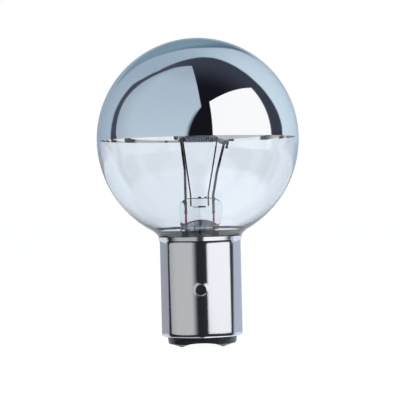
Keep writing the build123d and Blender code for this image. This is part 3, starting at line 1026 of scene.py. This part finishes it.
# World: white to the eye, and a studio to what reflects it: dark in front, pale behind
def studio_world():
    world = bpy.data.worlds.new("studio")
    bpy.context.scene.world = world
    world.use_nodes = True
    tree = world.node_tree
    tree.nodes.clear()
    links = tree.links

    def math(operation, *values):
        return math_node(tree, operation, *values)

    def ramp(value, stops):
        return ramp_node(tree, value, stops)

    def step(value, start, end):
        node = tree.nodes.new("ShaderNodeMapRange")
        node.interpolation_type = "SMOOTHSTEP"
        links.new(value, node.inputs["Value"])
        node.inputs["From Min"].default_value = start
        node.inputs["From Max"].default_value = end
        return node.outputs["Result"]

    def mix(share, low, high):
        node = tree.nodes.new("ShaderNodeMix")
        node.data_type = "RGBA"
        links.new(share, node.inputs["Factor"])
        for socket, value in ((node.inputs[6], low), (node.inputs[7], high)):
            if isinstance(value, tuple):
                socket.default_value = (*value, 1)
            else:
                links.new(value, socket)
        return node.outputs[2]

    near_dark = (0.0085, 0.0085, 0.013)
    left_dark, right_dark = (0.062, 0.071, 0.100), (0.045, 0.052, 0.075)
    low_dark = (0.014, 0.014, 0.018)
    left_low_pale, right_low_pale = (0.368, 0.386, 0.425), (0.475, 0.519, 0.613)
    panel_middle, panel_rim = (0.21, 0.32, 0.41), (0.115, 0.19, 0.25)
    left_sweep, right_sweep = (0.76, 0.80, 0.86), (0.82, 0.87, 0.94)
    far_grey, near_grey = (0.50, 0.51, 0.53), (0.48, 0.48, 0.49)
    ground_dark = (0.03, 0.03, 0.035)
    ground_white = (1.1, 1.1, 1.12)
    panel_shift, panel_half_width = 0.143, 0.425
    panel_shoulder, panel_arch = 0.62, 0.79
    panel_power = 2.6
    coordinates = tree.nodes.new("ShaderNodeTexCoord")
    parts = tree.nodes.new("ShaderNodeSeparateXYZ")
    links.new(coordinates.outputs["Generated"], parts.inputs["Vector"])
    sideways, away, up = parts.outputs
    # Pale surround behind: how far away it starts, by the angle round from the right over the top
    turn = math("DIVIDE", math("ARCTAN2", up, sideways), pi)
    starts = [(-4.1, 0.20), (-2.8, 0.27), (-1.6, 0.305), (2.1, 0.40), (8.4, 0.412),
              (18, 0.381), (30.8, 0.316), (44.9, 0.266), (57.1, 0.266), (68, 0.283),
              (77.9, 0.295), (85.5, 0.272),
              (97, 0.211), (107.4, 0.175), (118.4, 0.166), (129, 0.246), (138.4, 0.371),
              (149.9, 0.427), (159.8, 0.465), (177, 0.472), (179.9, 0.46)]
    start = ramp(math("MULTIPLY_ADD", turn, 0.95, 0.05),
                 [(0.05 + 0.95 * angle / 180, (reach,) * 3) for angle, reach in starts])
    start = mix(step(up, 0.0, -0.01), start, (0.30, 0.30, 0.30))
    low_right = math("MULTIPLY", step(up, 0.0, -0.01), step(sideways, -0.1, 0.1))
    low_starts = [(0.28, (0.305,) * 3), (0.49, (0.27,) * 3), (0.72, (0.20,) * 3)]
    start = mix(low_right, start, ramp(math("MULTIPLY_ADD", up, -10, 0), low_starts))
    behind = step(math("SUBTRACT", away, start), -0.02, 0.02)
    # Arched darker panel behind the lamp
    depth = math("MAXIMUM", away, 0.05)
    across = math("DIVIDE", math("ADD", math("DIVIDE", sideways, depth), panel_shift),
                  panel_half_width)
    above = math("DIVIDE", math("SUBTRACT", math("DIVIDE", up, depth), panel_shoulder), panel_arch)
    above = math("MAXIMUM", above, 0.0)
    spread = math("ADD", math("POWER", math("ABSOLUTE", across), panel_power),
                  math("POWER", above, panel_power))
    panel = math("MULTIPLY", step(spread, 1.12, 1.00), step(math("DIVIDE", up, depth), 0.34, 0.46))
    panel = math("MULTIPLY", panel, behind)
    depth_in = math("MULTIPLY_ADD", across, 0.4, spread)
    panel_colour = mix(step(depth_in, 0.2, 1.1), panel_middle, panel_rim)
    # Dark in front, darkest about the camera and low down
    far_dark = mix(step(sideways, -0.35, 0.05), left_dark, right_dark)
    far_dark = mix(step(up, 0.10, -0.02), far_dark, low_dark)
    dark = mix(step(away, -0.55, 0.15), near_dark, far_dark)
    # Pale behind, from left to right
    pale = ramp(math("MULTIPLY_ADD", sideways, 0.5, 0.5),
                [(0.0, (0.43, 0.55, 0.67)), (0.25, (0.355, 0.455, 0.57)),
                 (0.5, (0.385, 0.50, 0.62)), (0.75, (0.58, 0.71, 0.83)),
                 (1.0, (0.70, 0.84, 0.95))])
    low_pale = mix(step(sideways, -0.4, 0.4), left_low_pale, right_low_pale)
    pale = mix(step(up, 0.01, -0.01), pale, low_pale)
    surround = mix(behind, dark, pale)
    surround = mix(panel, surround, panel_colour)
    # White sweep behind the lamp and under it, duller on the left
    sweep = mix(step(sideways, -0.5, 0.5), left_sweep, right_sweep)
    low = math("MULTIPLY", step(up, -0.09, -0.13), step(away, 0.3, 0.45))
    surround = mix(low, surround, sweep)
    # Floor: white under the right softbox, grey on the left, dark below the camera
    front = math("DIVIDE", sideways, math("MAXIMUM", math("MULTIPLY", away, -1), 0.05))
    ground = ramp(math("MULTIPLY_ADD", front, 0.2, 0.5),
                  [(0.0, far_grey), (0.45, near_grey), (0.475, ground_dark), (0.53, ground_dark),
                   (0.55, ground_white), (1.0, ground_white)])
    surround = mix(step(up, -0.50, -0.60), surround, ground)
    colour = mix(seen_straight(tree), surround, (1.0, 1.0, 1.0))
    background = tree.nodes.new("ShaderNodeBackground")
    links.new(colour, background.inputs["Color"])
    output = tree.nodes.new("ShaderNodeOutputWorld")
    links.new(background.outputs["Background"], output.inputs["Surface"])


studio_world()


# Camera at the photograph's place: half a metre away, level with the globe's lower half
def studio_camera():
    distance = 0.5
    view_width = 0.1134
    height = 0.040
    aim = Vector((0.00235, 0, 0.03775))
    roll = radians(-1.36)
    camera = bpy.data.cameras.new("camera")
    camera.sensor_width = 36
    camera.lens = camera.sensor_width * distance / view_width
    camera.clip_start = 0.01
    holder = bpy.data.objects.new("camera", camera)
    place = Vector((aim.x, -distance, height))
    turn = (aim - place).to_track_quat("-Z", "Y").to_matrix().to_4x4()
    holder.matrix_world = Matrix.Translation(place) @ turn @ Matrix.Rotation(roll, 4, "Z")
    bpy.context.scene.collection.objects.link(holder)
    bpy.context.scene.camera = holder


studio_camera()
bpy.context.scene.view_settings.view_transform = "Standard"

low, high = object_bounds()
